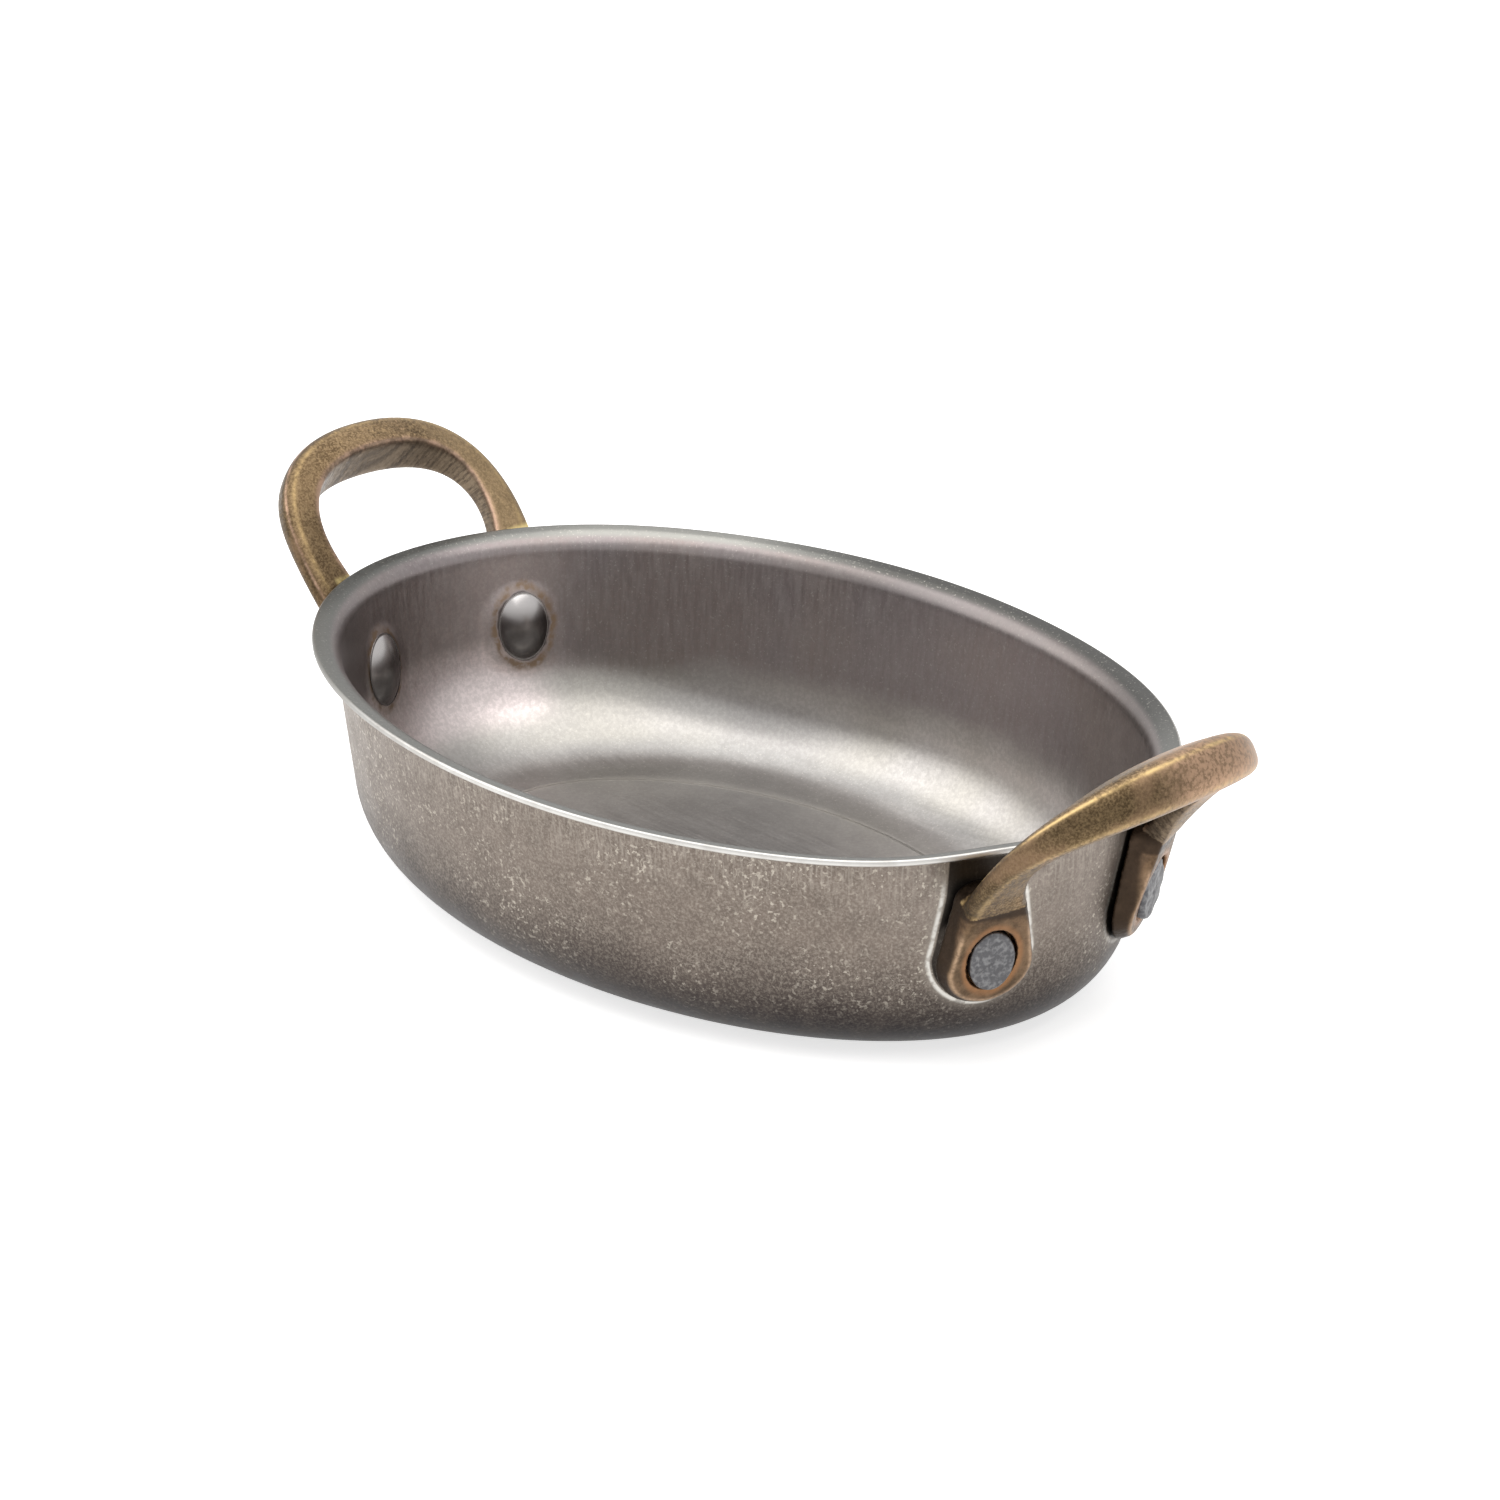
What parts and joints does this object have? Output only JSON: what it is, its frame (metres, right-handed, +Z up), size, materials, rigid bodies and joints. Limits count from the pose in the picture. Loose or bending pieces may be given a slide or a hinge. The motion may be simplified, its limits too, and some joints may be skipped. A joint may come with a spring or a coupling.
{
  "type": "oval dish",
  "caption": "Small oval metal serving and baking dish with a flared lip and an upswept cast loop handle riveted to each end.",
  "frame": {"origin": "middle of the base, on the table", "axes": "+X along the dish towards the right handle, +Y towards the far side, +Z up"},
  "size_m": [0.1852, 0.1076, 0.0522],
  "materials": {
    "pan_steel": "satin, darkened antique finish, fine brushing on the floor",
    "handle_brass": "cast, brown patina with bright rubbed edges",
    "rivet_steel": "dark, glossy domed heads and hammered tails"
  },
  "bodies": {
    "root": {"pan": "pan_steel", "left_handle": "handle_brass", "right_handle": "handle_brass", "left_front_rivet": "rivet_steel", "left_rear_rivet": "rivet_steel", "right_front_rivet": "rivet_steel", "right_rear_rivet": "rivet_steel"}
  },
  "joints": []
}
